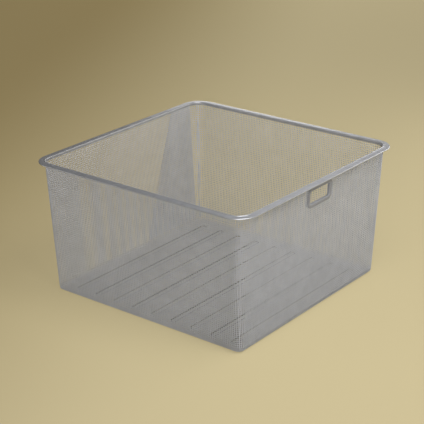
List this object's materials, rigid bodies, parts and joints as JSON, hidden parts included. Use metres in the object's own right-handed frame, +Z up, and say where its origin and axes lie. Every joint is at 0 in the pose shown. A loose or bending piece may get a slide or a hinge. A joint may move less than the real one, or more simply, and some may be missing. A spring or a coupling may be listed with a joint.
{
  "type": "mesh basket",
  "caption": "Square pull-out storage basket of fine steel mesh, with a roll-formed rim, a ribbed floor and a framed finger opening.",
  "frame": {"origin": "on the surface that the basket stands on, below the middle of the rim", "axes": "+Z up; the wall with the grip faces -Y; X runs along that wall, with the rear wall's lap on the +X side"},
  "size_m": [0.5, 0.5, 0.269],
  "materials": {
    "rim_steel": "satin silver-grey powder coat",
    "steel_mesh": "satin silver-grey powder coat on woven steel mesh",
    "grip_steel": "satin silver-grey powder coat"
  },
  "bodies": {
    "root": {"rim": "rim_steel", "floor_pan": "steel_mesh", "front_wall": "steel_mesh", "rear_wall": "steel_mesh", "left_wall": "steel_mesh", "right_wall": "steel_mesh", "front_lining": "steel_mesh", "rear_lap": "steel_mesh", "grip_bezel": "grip_steel", "grip_backing": "grip_steel"}
  },
  "joints": []
}
